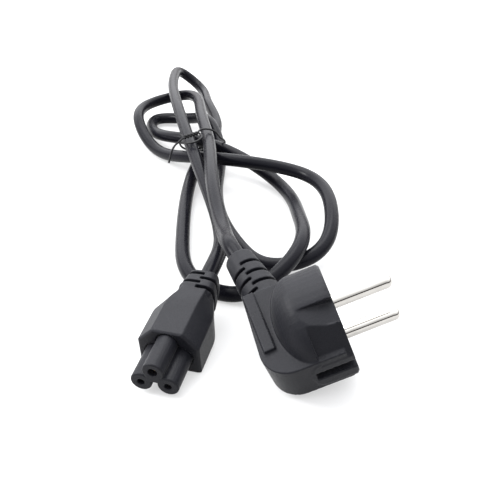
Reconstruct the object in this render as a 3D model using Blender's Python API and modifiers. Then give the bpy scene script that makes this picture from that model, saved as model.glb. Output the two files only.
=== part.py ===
# Mains cord set: a right-angle earthed plug, a three-pole cloverleaf connector and one round cord
# between them, tied up in a bundle. Metres, +Z up. The set lies on the plane z = 0.
import math

import bmesh
import bpy
import numpy as np
from mathutils import Euler, Matrix, Vector

# Clearance between pieces that touch
GAP = 0.0003

# Plug frame: x along the pins, y towards the cord, z along the line through both pins.
# Its origin is the centre of the plug's face.
PIN_SPACING = 0.0190
PIN_DIAMETER = 0.0048
PIN_LENGTH = 0.0190
PIN_ROOT = 0.0080
PIN_TIP_ROUND = 0.0021

DISC_RADIUS = 0.0182
DISC_DEPTH = 0.0108
DISC_RIM_ROUND = 0.0008
DOME_DEPTH = 0.0100
FLAT_OFFSET = 0.0172

HOUSING_DEPTH = 0.0268
HOUSING_THICKNESS = 0.0150
HOUSING_CORD_SIDE = 0.0158
HOUSING_CORNER = 0.0095
HOUSING_SHOULDER = 0.0146
HOUSING_EDGE = 0.0007
HOUSING_INSET = 0.0002
HOUSING_FRONT = 0.0020

GRIP_WIDTH = 0.0037
GRIP_RISE = 0.0012
GRIP_START = -0.0076
GRIP_END = 0.0152
GRIP_INSET = 0.0011
GRIP_SLANT = math.radians(3.6)

FACET_ANGLE = math.radians(54.0)
FACET_DEPTH = 0.0015
FACET_LENGTH = 0.0104

NOTCH_TURN = math.radians(12.0)
NOTCH_WIDTH = 0.0070
NOTCH_DEPTH = 0.0034
NOTCH_LENGTH = 0.0120
NOTCH_RUN_OUT = 0.0048

EARTH_SLOT_WIDTH = 0.0040
EARTH_SLOT_LENGTH = 0.0128
EARTH_SLOT_DEPTH = 0.0036
EARTH_CLIP_THICKNESS = 0.0008

RELIEF_LEAN = math.radians(12.0)
RELIEF_ROOT_X = -0.0200
RELIEF_ROOT_Y = 0.0155
RELIEF_ROOT_RADIUS = 0.0072
RELIEF_END_RADIUS = 0.0053
RELIEF_LENGTH = 0.0223
RELIEF_CORE_RADIUS = 0.0040
RELIEF_SLOT_WIDTH = 0.0012
RELIEF_SLOT_PITCH = 0.0053
RELIEF_SLOT_COUNT = 3
RELIEF_FIRST_SLOT = 0.0015
RELIEF_WEB_ANGLE = math.radians(83.0)

# The slots of both reliefs reach a little over half way round, and their cutters clear the surface
SLOT_SPAN = math.radians(188.0)
SLOT_CLEARANCE = 0.0020

# Connector frame: x out of the nose, y across, z up. Its origin is the middle of the lower
# edge of the shoulder that the nose stands on.
CONNECTOR_WIDTH = 0.0212
CONNECTOR_HEIGHT = 0.0166
CONNECTOR_TOP_WIDTH = 0.0105
CONNECTOR_SIDE_HEIGHT = 0.0110
CONNECTOR_STRAIGHT = 0.0140
CONNECTOR_TAPER = 0.0120
CONNECTOR_EDGE = 0.0007

NECK_RADIUS = 0.0067
NECK_HEIGHT = 0.0088
NECK_ASIDE = 0.0012
NECK_SQUARENESS = 4.0
TAIL_LENGTH = 0.0096
TAIL_SEAT = 0.0060
TAIL_END_RADIUS = 0.0055
TAIL_CORE_RADIUS = 0.0039
TAIL_SLOT_WIDTH = 0.0015
TAIL_SLOT_PITCH = 0.0052
TAIL_SLOT_COUNT = 2
TAIL_FIRST_SLOT = -0.0015
TAIL_WEB_ANGLE = math.radians(5.0)

NOSE_LENGTH = 0.0130
NOSE_SEAT = 0.0040
NOSE_TUBE_RADIUS = 0.0036
POLE_SPACING = 0.0090
POLE_HEIGHT = 0.0067
EARTH_RISE = 0.0053
WEB_RISE = 0.0009
POLE_HOLE_RADIUS = 0.0013
EARTH_HOLE_RADIUS = 0.0016
HOLE_DEPTH = 0.0120
SLEEVE_WALL = 0.00025
SLEEVE_RECESS = 0.0020

# Shift of all the places and route points below, which puts the origin at the middle of the
# rectangle that the plug and the connector cover
SET_SHIFT = (0.0004, 0.0032)

# Where the two ends of the set lie
PLUG_PLACE = (0.0221, -0.0100)
PLUG_TURN = (math.radians(17.5), math.radians(-20.5), math.radians(8.3))
CONNECTOR_PLACE = (-0.0321, -0.0100)
CONNECTOR_TURN = (0.0, math.radians(6.9), math.radians(-105.3))

# The cord leaves each relief straight for a short stub. Its tube has a point where the stretch
# since the last one, over CORD_STEP, and the turn since then, over CORD_TURN, add up to one.
CORD_DIAMETER = 0.0062
CORD_STUB = 0.0040
CORD_STEP = 0.0310
CORD_TURN = 0.80
CORD_SIDES = 3

# Points of the cord's centre line from the plug to the connector
CORD_ROUTE = [
    (-0.0150, 0.0395, 0.0215),
    (-0.0215, 0.0815, 0.0203),
    (-0.0265, 0.1380, 0.0195),
    (-0.0335, 0.1860, 0.0177),
    (-0.0480, 0.2260, 0.0123),
    (-0.0635, 0.2170, 0.0112),
    (-0.0685, 0.1880, 0.0100),
    (-0.0590, 0.1680, 0.0040),
    (-0.0350, 0.1390, 0.0102),
    (-0.0085, 0.1230, 0.0148),
    (0.0190, 0.1135, 0.0128),
    (0.0290, 0.0770, 0.0120),
    (0.0190, 0.0510, 0.0060),
    (0.0015, 0.0485, 0.0034),
    (-0.0100, 0.0625, 0.0033),
    (-0.0220, 0.1175, 0.0034),
    (-0.0235, 0.1690, 0.0078),
    (-0.0285, 0.1840, 0.0114),
    (-0.0460, 0.2060, 0.0052),
    (-0.0600, 0.2095, 0.0036),
    (-0.0620, 0.1915, 0.0046),
    (-0.0345, 0.1570, 0.0116),
    (-0.0110, 0.1400, 0.0098),
    (0.0070, 0.1230, 0.0042),
    (0.0155, 0.0790, 0.0085),
    (0.0105, 0.0415, 0.0110),
    (-0.0110, 0.0280, 0.0035),
    (-0.0235, 0.0335, 0.0033),
    (-0.0345, 0.0680, 0.0033),
    (-0.0320, 0.1530, 0.0033),
    (-0.0255, 0.2020, 0.0035),
    (-0.0330, 0.2390, 0.0043),
    (-0.0435, 0.2695, 0.0073),
    (-0.0500, 0.2705, 0.0120),
    (-0.0540, 0.2535, 0.0165),
    (-0.0480, 0.1965, 0.0198),
    (-0.0275, 0.1060, 0.0142),
    (-0.0175, 0.0525, 0.0110),
]

# Wire of the twist tie: round the bundle once, then both ends wound about each other
TIE_DIAMETER = 0.0010
TIE_SIDES = 1
TIE_TWIST = [(-0.0314, 0.1385, 0.0232), (-0.0382, 0.1335, 0.0230)]
TIE_TWIST_TURNS = 2.5
TIE_LOOP = [
    (-0.0288, 0.1417, 0.0241),
    (-0.0238, 0.1425, 0.0226),
    (-0.0212, 0.1457, 0.0182),
    (-0.0189, 0.1515, 0.0134),
    (-0.0204, 0.1556, 0.0101),
    (-0.0245, 0.1577, 0.0096),
    (-0.0295, 0.1580, 0.0080),
    (-0.0350, 0.1563, 0.0069),
    (-0.0395, 0.1525, 0.0087),
    (-0.0415, 0.1477, 0.0126),
    (-0.0413, 0.1430, 0.0163),
    (-0.0400, 0.1378, 0.0195),
    (-0.0377, 0.1314, 0.0212),
    (-0.0345, 0.1296, 0.0217),
    (-0.0313, 0.1315, 0.0221),
    (-0.0296, 0.1352, 0.0227),
]
TIE_LONG_END = [(-0.0397, 0.1318, 0.0221), (-0.0426, 0.1335, 0.0190), (-0.0449, 0.1352, 0.0145),
                (-0.0464, 0.1330, 0.0095)]
TIE_SHORT_END = [(-0.0404, 0.1352, 0.0237)]

ROUND_STEPS = 48
FINE_STEPS = 24


def clear_scene():
    for item in list(bpy.data.objects):
        bpy.data.objects.remove(item, do_unlink=True)


def collection(name):
    made = bpy.data.collections.new(name)
    bpy.context.scene.collection.children.link(made)
    return made


def principled(name, colour, roughness, metallic=0.0):
    made = bpy.data.materials.new(name)
    made.use_nodes = True
    shader = made.node_tree.nodes["Principled BSDF"]
    shader.inputs["Base Color"].default_value = (*colour, 1.0)
    shader.inputs["Roughness"].default_value = roughness
    shader.inputs["Metallic"].default_value = metallic
    return made


def add(name, mesh, place, frame=None):
    item = bpy.data.objects.new(name, mesh)
    place.objects.link(item)
    item.parent = frame
    return item


def finish(item, material, angle=35.0):
    item.data.materials.clear()
    item.data.materials.append(material)
    item.data.shade_smooth()
    item.data.set_sharp_from_angle(angle=math.radians(angle))
    return item


def shifted(points):
    return [(x + SET_SHIFT[0], y + SET_SHIFT[1], z) for x, y, z in points]


def frame_empty(name, place, turn):
    item = bpy.data.objects.new(name, None)
    parts.objects.link(item)
    item.location = shifted([(*place, 0.0)])[0]
    item.rotation_euler = Euler(turn, "XYZ")
    return item


def evaluated_mesh(item):
    bpy.context.view_layer.update()
    seen = item.evaluated_get(bpy.context.evaluated_depsgraph_get())
    return bpy.data.meshes.new_from_object(seen)


def settle(item):
    """Replace an object's modifiers by the mesh that they make, with outward faces."""
    mesh = evaluated_mesh(item)
    item.modifiers.clear()
    shape = bmesh.new()
    shape.from_mesh(mesh)
    bmesh.ops.remove_doubles(shape, verts=shape.verts, dist=1e-6)
    bmesh.ops.recalc_face_normals(shape, faces=shape.faces)
    shape.to_mesh(mesh)
    shape.free()
    item.data = mesh
    return item


def box(name, low, high, place, frame=None):
    mesh = bpy.data.meshes.new(name)
    shape = bmesh.new()
    bmesh.ops.create_cube(shape, size=1.0)
    size = [high[i] - low[i] for i in range(3)]
    middle = [(high[i] + low[i]) / 2 for i in range(3)]
    bmesh.ops.scale(shape, vec=size, verts=shape.verts)
    bmesh.ops.translate(shape, vec=middle, verts=shape.verts)
    shape.to_mesh(mesh)
    shape.free()
    return add(name, mesh, place, frame)


def turned(name, profile, steps, place, frame=None, axis_turn=None):
    """Turn a profile of (radius, height) points, listed from top to bottom, about Z."""
    mesh = bpy.data.meshes.new(name)
    points = [(radius, 0.0, height) for radius, height in profile]
    mesh.from_pydata(points, [(i, i + 1) for i in range(len(points) - 1)], [])
    item = add(name, mesh, place)
    screw = item.modifiers.new("turn", "SCREW")
    screw.axis = "Z"
    screw.angle = math.tau
    screw.steps = steps
    screw.render_steps = steps
    screw.use_merge_vertices = True
    screw.merge_threshold = 0.00001
    settle(item)
    if axis_turn is not None:
        item.data.transform(axis_turn)
    item.parent = frame
    return item


def outline_plate(name, outline, half_thickness, place):
    """Extrude a closed flat outline in XY by half its thickness to each side."""
    curve = bpy.data.curves.new(name, "CURVE")
    curve.dimensions = "2D"
    curve.fill_mode = "BOTH"
    curve.extrude = half_thickness
    spline = curve.splines.new("POLY")
    spline.points.add(len(outline) - 1)
    for point, (x, y) in zip(spline.points, outline):
        point.co = (x, y, 0.0, 1.0)
    spline.use_cyclic_u = True
    guide = bpy.data.objects.new(name + "_outline", curve)
    place.objects.link(guide)
    mesh = evaluated_mesh(guide)
    bpy.data.objects.remove(guide, do_unlink=True)
    shape = bmesh.new()
    shape.from_mesh(mesh)
    bmesh.ops.remove_doubles(shape, verts=shape.verts, dist=1e-6)
    bmesh.ops.recalc_face_normals(shape, faces=shape.faces)
    shape.to_mesh(mesh)
    shape.free()
    return add(name, mesh, place)


def arc(centre, radius, start, end, steps):
    angles = [start + (end - start) * i / steps for i in range(steps + 1)]
    return [(centre[0] + radius * math.cos(a), centre[1] + radius * math.sin(a)) for a in angles]


def combine(item, other, operation):
    """Join, cut or keep the common part with another object, which becomes a guide."""
    other.hide_render = True
    other.display_type = "WIRE"
    change = item.modifiers.new(other.name, "BOOLEAN")
    change.operation = operation
    change.solver = "EXACT"
    change.object = other
    return item


def rounded_edges(item, width, angle=40.0, segments=2):
    bevel = item.modifiers.new("edges", "BEVEL")
    bevel.width = width
    bevel.segments = segments
    bevel.limit_method = "ANGLE"
    bevel.angle_limit = math.radians(angle)
    return item


def lengthwise(axis):
    """Rotation that takes the Z axis to another axis."""
    return Vector((0.0, 0.0, 1.0)).rotation_difference(Vector(axis)).to_matrix().to_4x4()


def slot_ring(name, start, width, inner, outer, web_angle, matrix):
    """Cutter for one slot of a strain relief: part of a ring about Z, at height start."""
    ring = turned(name, [(inner, start + width), (outer, start + width), (outer, start),
                         (inner, start), (inner, start + width)], FINE_STEPS, cutters)
    reach = outer * 2
    sector = [(0.0, 0.0)]
    for side in np.linspace(-SLOT_SPAN / 2, SLOT_SPAN / 2, 7):
        sector.append((reach * math.cos(web_angle + side), reach * math.sin(web_angle + side)))
    wedge = outline_plate(name + "_sector", sector, width, cutters)
    wedge.data.transform(Matrix.Translation((0.0, 0.0, start + width / 2)))
    combine(ring, wedge, "INTERSECT")
    settle(ring)
    bpy.data.objects.remove(wedge, do_unlink=True)
    ring.data.transform(matrix)
    return ring


def relief_slots(prefix, first, pitch, count, width, core, outer, web_angle, matrix):
    """Staggered slots on both sides of a strain relief whose axis is Z in its own frame."""
    made = []
    for side in range(2):
        middle = web_angle + math.pi / 2 + side * math.pi
        for i in range(count):
            start = first + pitch * (i + side / 2)
            made.append(slot_ring(f"{prefix}_slot_{side}_{i}", start, width, core, outer, middle, matrix))
    return made


def plug_disc():
    """Round front of the plug with its domed back, turned about the pins' direction."""
    profile = [(0.0, 0.0), (DISC_RADIUS - DISC_RIM_ROUND, 0.0), (DISC_RADIUS, -DISC_RIM_ROUND)]
    for i in range(13):
        angle = math.pi / 2 * i / 12
        height = -DISC_DEPTH - DOME_DEPTH * math.sin(angle)
        profile.append((DISC_RADIUS * math.cos(angle), height))
    disc = turned("disc", profile, ROUND_STEPS, cutters, axis_turn=lengthwise((1, 0, 0)))
    reach = DISC_RADIUS * 2
    flats = box("flats", (-reach, -FLAT_OFFSET, -reach), (reach, FLAT_OFFSET, reach), cutters)
    combine(disc, flats, "INTERSECT")
    for side in (0.0, math.pi):
        combine(disc, grip_facet(side), "DIFFERENCE")
        combine(disc, guide_notch(side), "DIFFERENCE")
    return settle(disc)


def grip_facet(side):
    """Flat cut on the disc's side, away from the cord."""
    reach = DISC_RADIUS * 2
    facet = box(f"facet_{side:.0f}", (-FACET_LENGTH, -reach, DISC_RADIUS - FACET_DEPTH),
                (reach, reach, reach), cutters)
    facet.data.transform(Matrix.Rotation(FACET_ANGLE, 4, "X"))
    facet.data.transform(Matrix.Rotation(side, 4, "X"))
    return facet


def guide_notch(side):
    """Guide notch that runs in from the face and gets shallower towards its end."""
    slope = math.atan2(NOTCH_DEPTH, NOTCH_LENGTH)
    reach = DISC_RADIUS
    notch = box(f"notch_{side:.0f}", (-NOTCH_LENGTH - NOTCH_RUN_OUT, -NOTCH_WIDTH, 0.0),
                (reach, 0.0, reach), cutters)
    notch.data.transform(Matrix.Rotation(slope, 4, "Y"))
    notch.data.transform(Matrix.Translation((0.0, 0.0, DISC_RADIUS - NOTCH_DEPTH)))
    notch.data.transform(Matrix.Rotation(NOTCH_TURN, 4, "X"))
    notch.data.transform(Matrix.Rotation(side, 4, "X"))
    return notch


def housing_outline():
    side = FLAT_OFFSET - HOUSING_INSET
    corner_x = -HOUSING_DEPTH + HOUSING_CORNER
    corner_y = -side + HOUSING_CORNER
    outline = [(-HOUSING_FRONT, side), (-HOUSING_FRONT, -side)]
    outline += arc((corner_x, corner_y), HOUSING_CORNER, -math.pi / 2, -math.pi, 10)
    outline += [(-HOUSING_DEPTH, HOUSING_CORD_SIDE), (-HOUSING_SHOULDER, HOUSING_CORD_SIDE)]
    outline += [(-DISC_DEPTH - HOUSING_FRONT, side)]
    return outline


def plug_body():
    body = outline_plate("plug_body", housing_outline(), HOUSING_THICKNESS / 2, parts)
    rounded_edges(body, HOUSING_EDGE)
    settle(body)
    disc = plug_disc()
    combine(body, disc, "UNION")

    lean = Matrix.Rotation(RELIEF_LEAN, 4, "Z") @ lengthwise((0, 1, 0))
    relief_matrix = Matrix.Translation((RELIEF_ROOT_X, RELIEF_ROOT_Y, 0.0)) @ lean
    rim = RELIEF_SLOT_WIDTH / 2
    profile = [(0.0, RELIEF_LENGTH), (RELIEF_END_RADIUS - rim, RELIEF_LENGTH),
               (RELIEF_END_RADIUS, RELIEF_LENGTH - rim), (RELIEF_ROOT_RADIUS, 0.0),
               (RELIEF_ROOT_RADIUS, -RELIEF_ROOT_RADIUS), (0.0, -RELIEF_ROOT_RADIUS)]
    relief = turned("relief", profile, ROUND_STEPS, cutters, axis_turn=relief_matrix)
    combine(body, relief, "UNION")

    grip_half = (GRIP_END - GRIP_START) / 2
    grip_place = Matrix.Translation((-HOUSING_DEPTH + GRIP_INSET + GRIP_WIDTH / 2, GRIP_END - grip_half, 0.0))
    for side in (1, -1):
        bar = box(f"grip_bar_{side}", (-GRIP_WIDTH / 2, -grip_half, 0.0),
                  (GRIP_WIDTH / 2, grip_half, HOUSING_THICKNESS / 2 + GRIP_RISE), cutters)
        bar.data.transform(grip_place @ Matrix.Rotation(GRIP_SLANT, 4, "Z"))
        bar.data.transform(Matrix.Scale(side, 4, (0, 0, 1)))
        if side < 0:
            bar.data.flip_normals()
        combine(body, bar, "UNION")

    slots = relief_slots("relief", RELIEF_FIRST_SLOT, RELIEF_SLOT_PITCH, RELIEF_SLOT_COUNT,
                         RELIEF_SLOT_WIDTH, RELIEF_CORE_RADIUS, RELIEF_ROOT_RADIUS + SLOT_CLEARANCE,
                         RELIEF_WEB_ANGLE, relief_matrix)
    for cutter in slots:
        settle(combine(body, cutter, "DIFFERENCE"))

    for side in (1, -1):
        low = (-EARTH_SLOT_LENGTH, FLAT_OFFSET - EARTH_SLOT_DEPTH, -EARTH_SLOT_WIDTH / 2)
        high = (PIN_LENGTH, FLAT_OFFSET * 2, EARTH_SLOT_WIDTH / 2)
        recess = box(f"earth_recess_{side}", low, high, cutters)
        recess.data.transform(Matrix.Rotation(math.pi * (side < 0), 4, "X"))
        combine(body, recess, "DIFFERENCE")
        bore = turned(f"pin_bore_{side}", [(0.0, PIN_LENGTH), (PIN_DIAMETER / 2 + GAP, PIN_LENGTH),
                                          (PIN_DIAMETER / 2 + GAP, -PIN_ROOT - GAP), (0.0, -PIN_ROOT - GAP)],
                      FINE_STEPS, cutters, axis_turn=lengthwise((1, 0, 0)))
        bore.data.transform(Matrix.Translation((0.0, 0.0, side * PIN_SPACING / 2)))
        combine(body, bore, "DIFFERENCE")
    settle(body)
    body.parent = plug_frame
    return finish(body, black_plastic)


def plug_pin(name, side):
    radius = PIN_DIAMETER / 2
    profile = [(0.0, PIN_LENGTH)]
    for i in range(5):
        angle = math.pi / 2 * (1 - i / 4)
        tip = PIN_TIP_ROUND
        profile.append((radius - tip + tip * math.cos(angle), PIN_LENGTH - tip + tip * math.sin(angle)))
    profile += [(radius, -PIN_ROOT), (0.0, -PIN_ROOT)]
    pin = turned(name, profile, FINE_STEPS, parts, plug_frame, lengthwise((1, 0, 0)))
    pin.data.transform(Matrix.Translation((0.0, 0.0, side * PIN_SPACING / 2)))
    return finish(pin, nickel)


def earth_clip(name, side):
    """Earth contact strip that lies on the floor of its recess."""
    floor = FLAT_OFFSET - EARTH_SLOT_DEPTH + GAP
    low = (-EARTH_SLOT_LENGTH + GAP, floor, -EARTH_SLOT_WIDTH / 2 + GAP)
    high = (-DISC_RIM_ROUND, floor + EARTH_CLIP_THICKNESS, EARTH_SLOT_WIDTH / 2 - GAP)
    clip = box(name, low, high, parts, plug_frame)
    clip.data.transform(Matrix.Rotation(math.pi * (side < 0), 4, "X"))
    rounded_edges(clip, EARTH_CLIP_THICKNESS / 4, segments=1)
    return finish(clip, nickel)


def section(width, top_width, side_height, bottom, top, fillet, steps=4):
    """Closed cross-section in (y, z): a box with chamfered upper corners and rounded edges."""
    corners = [(width / 2, bottom), (width / 2, side_height), (top_width / 2, top),
               (-top_width / 2, top), (-width / 2, side_height), (-width / 2, bottom)]
    points = []
    for i, corner in enumerate(corners):
        here = Vector(corner)
        back = (Vector(corners[i - 1]) - here)
        ahead = (Vector(corners[(i + 1) % len(corners)]) - here)
        half = back.angle(ahead) / 2
        reach = min(fillet / math.tan(half), back.length * 0.49, ahead.length * 0.49)
        start = here + back.normalized() * reach
        end = here + ahead.normalized() * reach
        for k in range(steps + 1):
            t = k / steps
            points.append(start * (1 - t) ** 2 + here * 2 * t * (1 - t) + end * t ** 2)
    return points


def loft(name, rings, place):
    """Closed solid through rings of equally many points, given as (x, points in y and z)."""
    mesh = bpy.data.meshes.new(name)
    shape = bmesh.new()
    rows = []
    for x, points in rings:
        rows.append([shape.verts.new((x, p[0], p[1])) for p in points])
    count = len(rows[0])
    for low, high in zip(rows, rows[1:]):
        for i in range(count):
            j = (i + 1) % count
            shape.faces.new((low[i], low[j], high[j], high[i]))
    shape.faces.new(rows[0])
    shape.faces.new(rows[-1])
    bmesh.ops.recalc_face_normals(shape, faces=shape.faces)
    shape.to_mesh(mesh)
    shape.free()
    return add(name, mesh, place)


def smooth_step(t):
    return t * t * (3 - 2 * t)


def squared(way, radius):
    """Point in this direction on a rounded square with half this width."""
    unit = way.normalized()
    power = NECK_SQUARENESS
    return unit * radius / (abs(unit.x) ** power + abs(unit.y) ** power) ** (1 / power)


def connector_rings():
    """Sections of the connector's body from the shoulder back to the neck."""
    body = section(CONNECTOR_WIDTH, CONNECTOR_TOP_WIDTH, CONNECTOR_SIDE_HEIGHT, 0.0,
                   CONNECTOR_HEIGHT, CONNECTOR_EDGE)
    centre = Vector((0.0, CONNECTOR_HEIGHT / 2))
    middle = Vector((NECK_ASIDE, NECK_HEIGHT))
    neck = [middle + squared(point - centre, NECK_RADIUS) for point in body]
    slim = 1 - CONNECTOR_EDGE / CONNECTOR_WIDTH * 2
    rings = [(0.0, [centre + (p - centre) * slim for p in body]), (-CONNECTOR_EDGE, body)]
    rings.append((-CONNECTOR_STRAIGHT, body))
    steps = 9
    for i in range(1, steps + 1):
        t = i / steps
        blend = smooth_step(t)
        ring = [p * (1 - blend) + q * blend for p, q in zip(body, neck)]
        rings.append((-CONNECTOR_STRAIGHT - CONNECTOR_TAPER * t, ring))
    return rings


def connector_body():
    body = loft("connector_body", connector_rings(), parts)
    tail_start = CONNECTOR_STRAIGHT + CONNECTOR_TAPER
    tail_place = Matrix.Translation((-tail_start, NECK_ASIDE, NECK_HEIGHT))
    rim = TAIL_SLOT_WIDTH / 2
    rings = []
    for x, radius in ((TAIL_SEAT, NECK_RADIUS - rim), (0.0, NECK_RADIUS), (rim - TAIL_LENGTH, TAIL_END_RADIUS),
                      (-TAIL_LENGTH, TAIL_END_RADIUS - rim)):
        ways = [Vector((math.cos(a), math.sin(a))) for a in np.arange(ROUND_STEPS) * math.tau / ROUND_STEPS]
        rings.append((x, [squared(way, radius) for way in ways]))
    tail = loft("tail", rings, cutters)
    tail.data.transform(tail_place)
    combine(body, tail, "UNION")
    slots = relief_slots("tail", TAIL_FIRST_SLOT, TAIL_SLOT_PITCH, TAIL_SLOT_COUNT, TAIL_SLOT_WIDTH,
                         TAIL_CORE_RADIUS, NECK_RADIUS + SLOT_CLEARANCE, TAIL_WEB_ANGLE,
                         tail_place @ lengthwise((-1, 0, 0)))
    for cutter in slots:
        settle(combine(body, cutter, "DIFFERENCE"))
    seat_hole = clover("seat_hole", -NOSE_SEAT - GAP, NOSE_LENGTH, GAP, cutters)
    combine(body, seat_hole, "DIFFERENCE")
    settle(body)
    body.parent = connector_frame
    return finish(body, black_plastic)


def clover(name, back, front, grow, place):
    """Three tubes' outer shape and the web between them, along x from back to front."""
    radius = NOSE_TUBE_RADIUS + grow
    profile = [(0.0, front), (radius, front), (radius, back), (0.0, back)]
    if grow == 0.0:
        rim = POLE_HOLE_RADIUS / 4
        profile[1:2] = [(radius - rim, front), (radius, front - rim)]
    web = box(name, (back, -POLE_SPACING / 2, POLE_HEIGHT + WEB_RISE - grow),
              (front, POLE_SPACING / 2, POLE_HEIGHT + EARTH_RISE / 2), place)
    for key, (y, z) in pole_places().items():
        tube = turned(f"{name}_{key}", profile, FINE_STEPS, cutters, axis_turn=lengthwise((1, 0, 0)))
        tube.data.transform(Matrix.Translation((0.0, y, z)))
        combine(web, tube, "UNION")
    return settle(web)


def pole_places():
    return {"line": (-POLE_SPACING / 2, POLE_HEIGHT), "neutral": (POLE_SPACING / 2, POLE_HEIGHT),
            "earth": (0.0, POLE_HEIGHT + EARTH_RISE)}


def hole_radius(key):
    return EARTH_HOLE_RADIUS if key == "earth" else POLE_HOLE_RADIUS


def contact_carrier():
    carrier = clover("contact_carrier", -NOSE_SEAT, NOSE_LENGTH, 0.0, parts)
    for key, (y, z) in pole_places().items():
        radius = hole_radius(key)
        bottom = NOSE_LENGTH - HOLE_DEPTH
        hole = turned(f"hole_{key}", [(0.0, NOSE_LENGTH * 2), (radius, NOSE_LENGTH * 2), (radius, bottom),
                                     (0.0, bottom)], FINE_STEPS, cutters, axis_turn=lengthwise((1, 0, 0)))
        hole.data.transform(Matrix.Translation((0.0, y, z)))
        combine(carrier, hole, "DIFFERENCE")
    settle(carrier)
    carrier.parent = connector_frame
    return finish(carrier, black_plastic)


def contact_sleeve(key, y, z):
    outer = hole_radius(key) - GAP
    inner = outer - SLEEVE_WALL
    front = NOSE_LENGTH - SLEEVE_RECESS
    back = NOSE_LENGTH - HOLE_DEPTH + GAP
    sleeve = turned(f"contact_{key}", [(inner, front), (outer, front), (outer, back), (inner, back),
                                      (inner, front)], FINE_STEPS // 2, parts, connector_frame,
                    lengthwise((1, 0, 0)))
    sleeve.data.transform(Matrix.Translation((0.0, y, z)))
    return finish(sleeve, brass)


def smooth_route(points, first_way, last_way, steps):
    """Dense points on the cubic curve through a route that has these directions at its ends."""
    places = np.array(points)
    lengths = np.linalg.norm(np.diff(places, axis=0), axis=1)
    slopes = np.diff(places, axis=0) / lengths[:, None]
    count = len(places)
    system = np.zeros((count, count))
    change = np.zeros((count, 3))
    system[0, :2] = 2 * lengths[0], lengths[0]
    change[0] = slopes[0] - np.array(first_way)
    system[-1, -2:] = lengths[-1], 2 * lengths[-1]
    change[-1] = np.array(last_way) - slopes[-1]
    for i in range(1, count - 1):
        system[i, i - 1:i + 2] = lengths[i - 1], 2 * (lengths[i - 1] + lengths[i]), lengths[i]
        change[i] = slopes[i] - slopes[i - 1]
    bend = np.linalg.solve(system, 6 * change)
    dense = []
    for i, length in enumerate(lengths):
        for t in np.arange(steps) / steps:
            back = 1 - t
            sag = ((back ** 3 - back) * bend[i] + (t ** 3 - t) * bend[i + 1]) * length ** 2 / 6
            dense.append(back * places[i] + t * places[i + 1] + sag)
    dense.append(places[-1])
    return np.array(dense)


def spaced(dense, step, turn):
    """Fewer points of a dense line: far apart where it is straight, closer where it bends."""
    runs = np.diff(dense, axis=0)
    lengths = np.linalg.norm(runs, axis=1)
    ways = runs / lengths[:, None]
    cosines = np.clip(np.sum(ways[1:] * ways[:-1], axis=1), -1.0, 1.0)
    turns = np.concatenate([[0.0], np.arccos(cosines)])
    measure = np.concatenate([[0.0], np.cumsum(lengths / step + turns / turn)])
    marks = np.linspace(0.0, measure[-1], math.ceil(measure[-1]) + 1)
    return np.stack([np.interp(marks, measure, dense[:, k]) for k in range(3)], axis=1)


def tube(name, points, diameter, sides, material):
    curve = bpy.data.curves.new(name, "CURVE")
    curve.dimensions = "3D"
    curve.bevel_depth = diameter / 2
    curve.bevel_resolution = sides
    curve.use_fill_caps = True
    spline = curve.splines.new("POLY")
    spline.points.add(len(points) - 1)
    for point, place in zip(spline.points, points):
        point.co = (*place, 1.0)
    spline.use_smooth = True
    curve.materials.append(material)
    item = bpy.data.objects.new(name, curve)
    parts.objects.link(item)
    return item


def relief_exit(frame, axis_point, way):
    """Where the cord starts at the end of a relief, where its stub ends, and its direction."""
    turn = frame.matrix_world.to_3x3()
    ahead = (turn @ Vector(way)).normalized()
    start = frame.matrix_world @ Vector(axis_point) + ahead * GAP
    return start, start + ahead * CORD_STUB, ahead


def power_cord():
    way = (-math.sin(RELIEF_LEAN), math.cos(RELIEF_LEAN), 0.0)
    end = (RELIEF_ROOT_X + RELIEF_LENGTH * way[0], RELIEF_ROOT_Y + RELIEF_LENGTH * way[1], 0.0)
    start, first, out = relief_exit(plug_frame, end, way)
    tail = (-CONNECTOR_STRAIGHT - CONNECTOR_TAPER - TAIL_LENGTH, NECK_ASIDE, NECK_HEIGHT)
    finish_point, last, back = relief_exit(connector_frame, tail, (-1.0, 0.0, 0.0))
    dense = smooth_route([first, *shifted(CORD_ROUTE), last], out, -back, FINE_STEPS)
    points = [start, *spaced(dense, CORD_STEP, CORD_TURN), finish_point]
    return tube("power_cord", points, CORD_DIAMETER, CORD_SIDES, cord_jacket)


def tie_strand(side, count):
    """Points of one wire of the twist, wound about the line from its start to its end."""
    start, end = (Vector(point) for point in shifted(TIE_TWIST))
    axis = (end - start).normalized()
    across = axis.cross(Vector((0.0, 0.0, 1.0))).normalized()
    over = axis.cross(across)
    reach = (TIE_DIAMETER + GAP) / 2
    points = []
    for i in range(count + 1):
        angle = math.pi * side + math.tau * TIE_TWIST_TURNS * i / count
        aside = across * math.cos(angle) + over * math.sin(angle)
        points.append(start.lerp(end, i / count) + aside * reach)
    return points


def twist_tie():
    near = tie_strand(0, 15)
    far = tie_strand(1, 15)
    route = [*reversed(shifted(TIE_LONG_END)), *reversed(near), *shifted(TIE_LOOP), *far,
             *shifted(TIE_SHORT_END)]
    first_way = (Vector(route[1]) - Vector(route[0])).normalized()
    last_way = (Vector(route[-1]) - Vector(route[-2])).normalized()
    return tube("twist_tie", smooth_route(route, first_way, last_way, 2), TIE_DIAMETER, TIE_SIDES,
                tie_coat)


def rest_on_floor(frame):
    """Lift or lower a frame so that the lowest point of its pieces is at z = 0."""
    bpy.context.view_layer.update()
    lowest = min((item.matrix_world @ v.co).z for item in frame.children for v in item.data.vertices)
    frame.location.z -= lowest
    bpy.context.view_layer.update()


clear_scene()
parts = collection("mains_cord_set")
cutters = collection("cutters")

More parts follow.
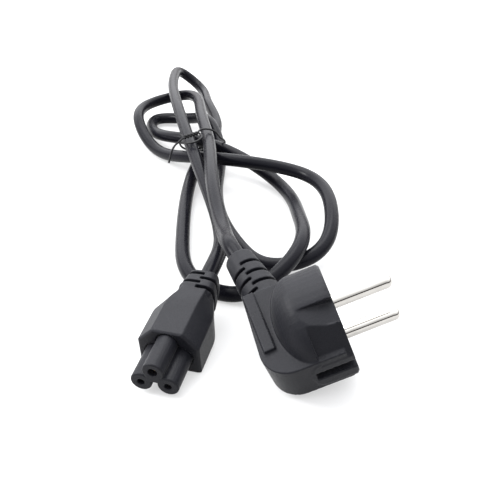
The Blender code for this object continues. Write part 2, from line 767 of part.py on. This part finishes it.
black_plastic = principled("black_plastic", (0.020, 0.020, 0.022), 0.50)
nickel = principled("nickel", (0.72, 0.70, 0.66), 0.22, 1.0)
brass = principled("brass", (0.70, 0.52, 0.22), 0.30, 1.0)
cord_jacket = principled("cord_jacket", (0.018, 0.018, 0.020), 0.38)
tie_coat = principled("tie_coat", (0.015, 0.015, 0.016), 0.45)

plug_frame = frame_empty("plug_frame", PLUG_PLACE, PLUG_TURN)
connector_frame = frame_empty("connector_frame", CONNECTOR_PLACE, CONNECTOR_TURN)

plug_body()
plug_pin("pin_line", 1)
plug_pin("pin_neutral", -1)
earth_clip("earth_clip_cord_side", 1)
earth_clip("earth_clip_far_side", -1)
connector_body()
contact_carrier()
for pole, (across, up) in pole_places().items():
    contact_sleeve(pole, across, up)
rest_on_floor(plug_frame)
rest_on_floor(connector_frame)
power_cord()
twist_tie()
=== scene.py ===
# Mains cord set tied in a bundle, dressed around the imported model. Metres, +Z up.
import math

import bmesh
import bpy
import numpy as np
from mathutils import Euler, Matrix, Vector


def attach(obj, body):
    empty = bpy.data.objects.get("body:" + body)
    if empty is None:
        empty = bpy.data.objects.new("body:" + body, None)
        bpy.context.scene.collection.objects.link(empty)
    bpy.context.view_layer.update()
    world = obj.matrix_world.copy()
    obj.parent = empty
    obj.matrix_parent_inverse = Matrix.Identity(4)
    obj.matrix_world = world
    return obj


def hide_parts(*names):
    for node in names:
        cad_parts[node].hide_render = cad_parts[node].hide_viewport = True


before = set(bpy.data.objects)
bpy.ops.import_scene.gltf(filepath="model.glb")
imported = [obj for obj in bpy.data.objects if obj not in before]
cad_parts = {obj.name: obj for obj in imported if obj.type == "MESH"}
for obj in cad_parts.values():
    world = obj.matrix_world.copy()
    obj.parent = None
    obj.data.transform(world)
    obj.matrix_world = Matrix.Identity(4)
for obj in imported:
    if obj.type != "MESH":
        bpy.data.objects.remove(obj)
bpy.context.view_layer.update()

# Camera
CAMERA_PLACE = (-0.0055, -0.1842, 0.1543)
CAMERA_DOWN = math.radians(31.4)
CAMERA_LENS = 50.4
SENSOR = 36.0

# Plug and its pins
PLUG_PLACE = (0.0225, -0.0068, 0.02114)
PLUG_TURN = (math.radians(17.5), math.radians(-20.5), math.radians(8.3))
PIN_SPACING = 0.0190
PIN_DIAMETER = 0.0048
PIN_LENGTH = 0.0190
PIN_ROOT = 0.0080
PIN_TIP_ROUND = 0.0021

PIN_TIP_STEPS = 12
PIN_SIDES = 96
PIN_SHARP_EDGE = math.radians(40.0)
FINE_MERGE = 1e-7

# Voxel size and smoothing passes that round the mouldings' edges
MOULDINGS = {
    "plug": ("plug_body", 0.00031, 2),
    "connector": ("connector_body", 0.00022, 3),
    "nose": ("contact_carrier", 0.00018, 3),
}

# Shift of the route points below into the model's frame
SET_SHIFT = (0.0004, 0.0032)

# Cord
CORD_DIAMETER = 0.0062
CORD_STEPS = 24
CORD_SIDES = 6
CORD_START = (-0.00989, 0.02158, 0.02308)
CORD_END = (-0.02182, 0.02304, 0.01297)
CORD_ROUTE = [
    (-0.01161, 0.02510, 0.02389),
    (-0.0150, 0.0395, 0.0215),
    (-0.0215, 0.0815, 0.0203),
    (-0.0265, 0.1380, 0.0195),
    (-0.0335, 0.1860, 0.0177),
    (-0.0480, 0.2260, 0.0123),
    (-0.0635, 0.2170, 0.0112),
    (-0.0685, 0.1880, 0.0100),
    (-0.0590, 0.1680, 0.0040),
    (-0.0350, 0.1390, 0.0102),
    (-0.0085, 0.1230, 0.0148),
    (0.0190, 0.1135, 0.0128),
    (0.0290, 0.0770, 0.0120),
    (0.0190, 0.0510, 0.0060),
    (0.0015, 0.0485, 0.0034),
    (-0.0100, 0.0625, 0.0033),
    (-0.0220, 0.1175, 0.0034),
    (-0.0235, 0.1690, 0.0078),
    (-0.0285, 0.1840, 0.0114),
    (-0.0460, 0.2060, 0.0052),
    (-0.0600, 0.2095, 0.0036),
    (-0.0620, 0.1915, 0.0046),
    (-0.0345, 0.1570, 0.0116),
    (-0.0110, 0.1400, 0.0098),
    (0.0070, 0.1230, 0.0042),
    (0.0155, 0.0790, 0.0085),
    (0.0105, 0.0415, 0.0110),
    (-0.0110, 0.0280, 0.0035),
    (-0.0235, 0.0335, 0.0033),
    (-0.0345, 0.0680, 0.0033),
    (-0.0320, 0.1530, 0.0033),
    (-0.0255, 0.2020, 0.0035),
    (-0.0330, 0.2390, 0.0043),
    (-0.0435, 0.2695, 0.0073),
    (-0.0500, 0.2705, 0.0120),
    (-0.0540, 0.2535, 0.0165),
    (-0.0480, 0.1965, 0.0198),
    (-0.0275, 0.1060, 0.0142),
    (-0.0175, 0.0525, 0.0110),
    (-0.02077, 0.02687, 0.01345),
]

# Twist tie
TIE_DIAMETER = 0.0010
TIE_STEPS = 6
TIE_SIDES = 3
TIE_GAP = 0.0003
TIE_TWIST = [(-0.0314, 0.1385, 0.0232), (-0.0382, 0.1335, 0.0230)]
TIE_TWIST_TURNS = 2.5
TIE_TWIST_STEPS = 15
TIE_LOOP = [
    (-0.0288, 0.1417, 0.0241),
    (-0.0238, 0.1425, 0.0226),
    (-0.0212, 0.1457, 0.0182),
    (-0.0189, 0.1515, 0.0134),
    (-0.0204, 0.1556, 0.0101),
    (-0.0245, 0.1577, 0.0096),
    (-0.0295, 0.1580, 0.0080),
    (-0.0350, 0.1563, 0.0069),
    (-0.0395, 0.1525, 0.0087),
    (-0.0415, 0.1477, 0.0126),
    (-0.0413, 0.1430, 0.0163),
    (-0.0400, 0.1378, 0.0195),
    (-0.0377, 0.1314, 0.0212),
    (-0.0345, 0.1296, 0.0217),
    (-0.0313, 0.1315, 0.0221),
    (-0.0296, 0.1352, 0.0227),
]
TIE_LONG_END = [(-0.0397, 0.1318, 0.0221), (-0.0426, 0.1335, 0.0190), (-0.0449, 0.1352, 0.0145),
                (-0.0464, 0.1330, 0.0095)]
TIE_SHORT_END = [(-0.0404, 0.1352, 0.0237)]

# Floor and studio
FLOOR_REACH = 20.0
FLOOR_GREY = 0.32
FLOOR_GLOW = 0.50
BRIGHT_WAY = (-0.12, 0.52, 0.84)
UP_WAY = (0.0, 0.06, 1.0)
WALL_STOPS = [(0.0, (0.110, 0.096, 0.094)), (0.14, (0.130, 0.113, 0.110)), (0.22, (0.90, 0.90, 0.92)),
              (0.40, (0.97, 0.98, 1.0))]


def placed(name, data):
    """New object in the scene."""
    item = bpy.data.objects.new(name, data)
    bpy.context.scene.collection.objects.link(item)
    return item


def shifted(points):
    return [(x + SET_SHIFT[0], y + SET_SHIFT[1], z) for x, y, z in points]


def smooth_route(points, first_way, last_way, steps):
    """Dense points on the cubic curve through a route that has these directions at its ends."""
    places = np.array(points)
    lengths = np.linalg.norm(np.diff(places, axis=0), axis=1)
    slopes = np.diff(places, axis=0) / lengths[:, None]
    count = len(places)
    system = np.zeros((count, count))
    change = np.zeros((count, 3))
    system[0, :2] = 2 * lengths[0], lengths[0]
    change[0] = slopes[0] - np.array(first_way)
    system[-1, -2:] = lengths[-1], 2 * lengths[-1]
    change[-1] = np.array(last_way) - slopes[-1]
    for i in range(1, count - 1):
        system[i, i - 1:i + 2] = lengths[i - 1], 2 * (lengths[i - 1] + lengths[i]), lengths[i]
        change[i] = slopes[i] - slopes[i - 1]
    bend = np.linalg.solve(system, 6 * change)
    dense = []
    for i, length in enumerate(lengths):
        for t in np.arange(steps) / steps:
            back = 1 - t
            sag = ((back ** 3 - back) * bend[i] + (t ** 3 - t) * bend[i + 1]) * length ** 2 / 6
            dense.append(back * places[i] + t * places[i + 1] + sag)
    dense.append(places[-1])
    return np.array(dense)


def way(start, end):
    return (Vector(end) - Vector(start)).normalized()


def tube(name, points, diameter, sides):
    curve = bpy.data.curves.new(name, "CURVE")
    curve.dimensions = "3D"
    curve.bevel_depth = diameter / 2
    curve.bevel_resolution = sides
    curve.use_fill_caps = True
    spline = curve.splines.new("POLY")
    spline.points.add(len(points) - 1)
    for point, place in zip(spline.points, points):
        point.co = (*place, 1.0)
    spline.use_smooth = True
    return placed(name, curve)


camera_data = bpy.data.cameras.new("camera")
camera_data.lens = CAMERA_LENS
camera_data.sensor_width = SENSOR
camera = placed("camera", camera_data)
camera.location = CAMERA_PLACE
camera.rotation_euler = (math.pi / 2 - CAMERA_DOWN, 0.0, 0.0)
bpy.context.scene.camera = camera

cord_exit, cord_finish = shifted([CORD_START, CORD_END])
route = shifted(CORD_ROUTE)
dense = smooth_route(route, way(cord_exit, route[0]), way(route[-1], cord_finish), CORD_STEPS)
cord_points = [cord_exit, *dense, cord_finish]
cord = tube("cord", cord_points, CORD_DIAMETER, CORD_SIDES)


def tie_strand(side):
    """Points of one wire of the twist, wound about the line from its start to its end."""
    start, end = (Vector(point) for point in shifted(TIE_TWIST))
    axis = (end - start).normalized()
    across = axis.cross(Vector((0.0, 0.0, 1.0))).normalized()
    over = axis.cross(across)
    reach = (TIE_DIAMETER + TIE_GAP) / 2
    points = []
    for i in range(TIE_TWIST_STEPS + 1):
        share = i / TIE_TWIST_STEPS
        angle = math.pi * side + math.tau * TIE_TWIST_TURNS * share
        aside = across * math.cos(angle) + over * math.sin(angle)
        points.append(start.lerp(end, share) + aside * reach)
    return points


tie_route = [*reversed(shifted(TIE_LONG_END)), *reversed(tie_strand(0)), *shifted(TIE_LOOP),
             *tie_strand(1), *shifted(TIE_SHORT_END)]
tie_points = smooth_route(tie_route, way(tie_route[0], tie_route[1]),
                          way(tie_route[-2], tie_route[-1]), TIE_STEPS)
tie = tube("tie", tie_points, TIE_DIAMETER, TIE_SIDES)


def material(name):
    made = bpy.data.materials.new(name)
    made.use_nodes = True
    nodes = made.node_tree.nodes
    links = made.node_tree.links
    return made, nodes, links, nodes["Principled BSDF"]


def noise(nodes, links, coords, scale, detail, roughness=0.5):
    made = nodes.new("ShaderNodeTexNoise")
    made.inputs["Scale"].default_value = scale
    made.inputs["Detail"].default_value = detail
    made.inputs["Roughness"].default_value = roughness
    links.new(coords, made.inputs["Vector"])
    return made.outputs["Fac"]


def span(nodes, links, value, low, high, to_low, to_high):
    made = nodes.new("ShaderNodeMapRange")
    made.inputs["From Min"].default_value = low
    made.inputs["From Max"].default_value = high
    made.inputs["To Min"].default_value = to_low
    made.inputs["To Max"].default_value = to_high
    links.new(value, made.inputs["Value"])
    return made.outputs["Result"]


def ramp(nodes, links, value, stops):
    made = nodes.new("ShaderNodeValToRGB")
    made.color_ramp.elements[0].position = stops[0][0]
    made.color_ramp.elements[0].color = (*stops[0][1], 1.0)
    made.color_ramp.elements[1].position = stops[-1][0]
    made.color_ramp.elements[1].color = (*stops[-1][1], 1.0)
    for position, colour in stops[1:-1]:
        made.color_ramp.elements.new(position).color = (*colour, 1.0)
    links.new(value, made.inputs["Fac"])
    return made.outputs["Color"]


def bump(nodes, links, height, distance):
    made = nodes.new("ShaderNodeBump")
    made.inputs["Distance"].default_value = distance
    links.new(height, made.inputs["Height"])
    return made.outputs["Normal"]


def coated_plastic(name, dark, light, rough_low, rough_high, grain, grain_depth, spec, sheen):
    """Black plastic with a fine grain, faint cloudy colour and uneven gloss."""
    made, nodes, links, shader = material(name)
    coords = nodes.new("ShaderNodeTexCoord").outputs["Object"]
    clouds = noise(nodes, links, coords, 60.0, 3.0)
    fine = noise(nodes, links, coords, grain, 2.0, 0.6)
    links.new(ramp(nodes, links, clouds, [(0.3, dark), (0.7, light)]), shader.inputs["Base Color"])
    links.new(span(nodes, links, fine, 0.3, 0.7, rough_low, rough_high), shader.inputs["Roughness"])
    links.new(bump(nodes, links, fine, grain_depth), shader.inputs["Normal"])
    shader.inputs["Specular IOR Level"].default_value = spec
    shader.inputs["Sheen Weight"].default_value = sheen
    shader.inputs["Sheen Roughness"].default_value = 0.30
    return made


moulding = coated_plastic("moulding", (0.0040, 0.0042, 0.0062), (0.0060, 0.0062, 0.0086), 0.42, 0.56,
                          2400.0, 0.00009, 0.14, 0.06)
jacket = coated_plastic("jacket", (0.0032, 0.0032, 0.0050), (0.0045, 0.0045, 0.0066), 0.24, 0.31,
                        1500.0, 0.00001, 0.07, 0.02)
tie_coat = coated_plastic("tie_coat", (0.0060, 0.0060, 0.0070), (0.0090, 0.0090, 0.0100), 0.40, 0.55,
                          1800.0, 0.00003, 0.20, 0.06)


def metal(name, dark, light, rough_low, rough_high):
    made, nodes, links, shader = material(name)
    coords = nodes.new("ShaderNodeTexCoord").outputs["Object"]
    clouds = noise(nodes, links, coords, 220.0, 3.0)
    fine = noise(nodes, links, coords, 3000.0, 2.0)
    links.new(ramp(nodes, links, clouds, [(0.3, dark), (0.7, light)]), shader.inputs["Base Color"])
    links.new(span(nodes, links, clouds, 0.3, 0.7, rough_low, rough_high), shader.inputs["Roughness"])
    links.new(bump(nodes, links, fine, 0.000004), shader.inputs["Normal"])
    shader.inputs["Metallic"].default_value = 1.0
    return made


nickel = metal("nickel", (0.43, 0.415, 0.39), (0.49, 0.475, 0.45), 0.06, 0.10)
brass = metal("brass", (0.60, 0.42, 0.18), (0.72, 0.54, 0.26), 0.25, 0.35)


def evaluated(item):
    bpy.context.view_layer.update()
    seen = item.evaluated_get(bpy.context.evaluated_depsgraph_get())
    return bpy.data.meshes.new_from_object(seen)


def dress(item, look):
    item.data.materials.clear()
    item.data.materials.append(look)
    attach(item, "root")


def softened(name):
    """Copy of a CAD node with the small edge radii of a moulding."""
    node, voxel, passes = MOULDINGS[name]
    item = placed(name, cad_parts[node].data.copy())
    remesh = item.modifiers.new("remesh", "REMESH")
    remesh.mode = "VOXEL"
    remesh.voxel_size = voxel
    remesh.adaptivity = 0.0
    smooth = item.modifiers.new("smooth", "SMOOTH")
    smooth.factor = 0.5
    smooth.iterations = passes
    mesh = evaluated(item)
    item.modifiers.clear()
    item.data = mesh
    mesh.shade_smooth()
    dress(item, moulding)
    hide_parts(node)
    return item


softened("plug")
connector = softened("connector")
nose = softened("nose")


def fine_pin(name, node, side):
    """Pin turned in fine steps, with a round tip."""
    radius = PIN_DIAMETER / 2
    profile = [(0.0, -PIN_ROOT), (radius, -PIN_ROOT)]
    for i in range(PIN_TIP_STEPS + 1):
        angle = math.pi / 2 * i / PIN_TIP_STEPS
        profile.append((radius - PIN_TIP_ROUND * (1 - math.cos(angle)),
                        PIN_LENGTH - PIN_TIP_ROUND * (1 - math.sin(angle))))
    profile.append((0.0, PIN_LENGTH))
    turns = [math.tau * k / PIN_SIDES for k in range(PIN_SIDES)]
    pin = bmesh.new()
    rings = []
    for reach, along in profile:
        rings.append([pin.verts.new((along, reach * math.cos(a), reach * math.sin(a))) for a in turns])
    for low, high in zip(rings, rings[1:]):
        for k in range(PIN_SIDES):
            pin.faces.new((low[k], low[k - 1], high[k - 1], high[k]))
    bmesh.ops.remove_doubles(pin, verts=pin.verts, dist=FINE_MERGE)
    bmesh.ops.recalc_face_normals(pin, faces=pin.faces)
    mesh = bpy.data.meshes.new(name)
    pin.to_mesh(mesh)
    pin.free()
    mesh.shade_smooth()
    mesh.set_sharp_from_angle(angle=PIN_SHARP_EDGE)
    mesh.transform(Matrix.Translation(PLUG_PLACE) @ Euler(PLUG_TURN, "XYZ").to_matrix().to_4x4()
                   @ Matrix.Translation((0.0, 0.0, side * PIN_SPACING / 2)))
    item = placed(name, mesh)
    dress(item, nickel)
    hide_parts(node)


fine_pin("line_pin", "pin_line", 1)
fine_pin("neutral_pin", "pin_neutral", -1)

for node, look in (("earth_clip_cord_side", nickel), ("earth_clip_far_side", nickel), ("contact_line", brass),
                   ("contact_neutral", brass), ("contact_earth", brass)):
    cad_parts[node].data.materials.clear()
    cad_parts[node].data.materials.append(look)

dress(cord, jacket)
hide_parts("power_cord")
dress(tie, tie_coat)
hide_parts("twist_tie")

# Floor, world and lights
floor_mesh = bpy.data.meshes.new("floor")
shape = bmesh.new()
bmesh.ops.create_grid(shape, x_segments=1, y_segments=1, size=FLOOR_REACH)
shape.to_mesh(floor_mesh)
shape.free()
floor = placed("floor", floor_mesh)
paper, _, _, paper_shader = material("paper")
paper_shader.inputs["Base Color"].default_value = (FLOOR_GREY, FLOOR_GREY, FLOOR_GREY, 1.0)
paper_shader.inputs["Emission Color"].default_value = (1.0, 1.0, 1.0, 1.0)
paper_shader.inputs["Emission Strength"].default_value = FLOOR_GLOW
paper_shader.inputs["Roughness"].default_value = 0.9
paper_shader.inputs["Specular IOR Level"].default_value = 0.1
floor_mesh.materials.append(paper)

# The studio is bright above and behind the set and dim in front of it
world = bpy.data.worlds.new("studio")
bpy.context.scene.world = world
world.use_nodes = True
studio = world.node_tree
direction = studio.nodes.new("ShaderNodeTexCoord").outputs["Generated"]


def along(heading):
    """How far a direction of the studio points along a heading."""
    product = studio.nodes.new("ShaderNodeVectorMath")
    product.operation = "DOT_PRODUCT"
    product.inputs[1].default_value = heading
    studio.links.new(direction, product.inputs[0])
    return product.outputs["Value"]


glow = span(studio.nodes, studio.links, along(BRIGHT_WAY), -0.35, 0.75, 0.6, 3.6)
studio.links.new(glow, studio.nodes["Background"].inputs["Strength"])
walls = ramp(studio.nodes, studio.links, along(UP_WAY), WALL_STOPS)
studio.links.new(walls, studio.nodes["Background"].inputs["Color"])


def softbox(name, place, target, width, depth, power):
    light = bpy.data.lights.new(name, "AREA")
    light.shape = "RECTANGLE"
    light.size = width
    light.size_y = depth
    light.energy = power
    item = placed(name, light)
    item.location = place
    item.rotation_euler = way(place, target).to_track_quat("-Z", "Y").to_euler()


softbox("top_light", (-0.15, 0.45, 0.9), (0.0, 0.08, 0.0), 0.8, 0.6, 9.0)
softbox("left_light", (-0.80, 0.10, 0.55), (-0.03, 0.0, 0.0), 0.3, 0.4, 10.0)

bpy.context.scene.view_settings.view_transform = "Standard"
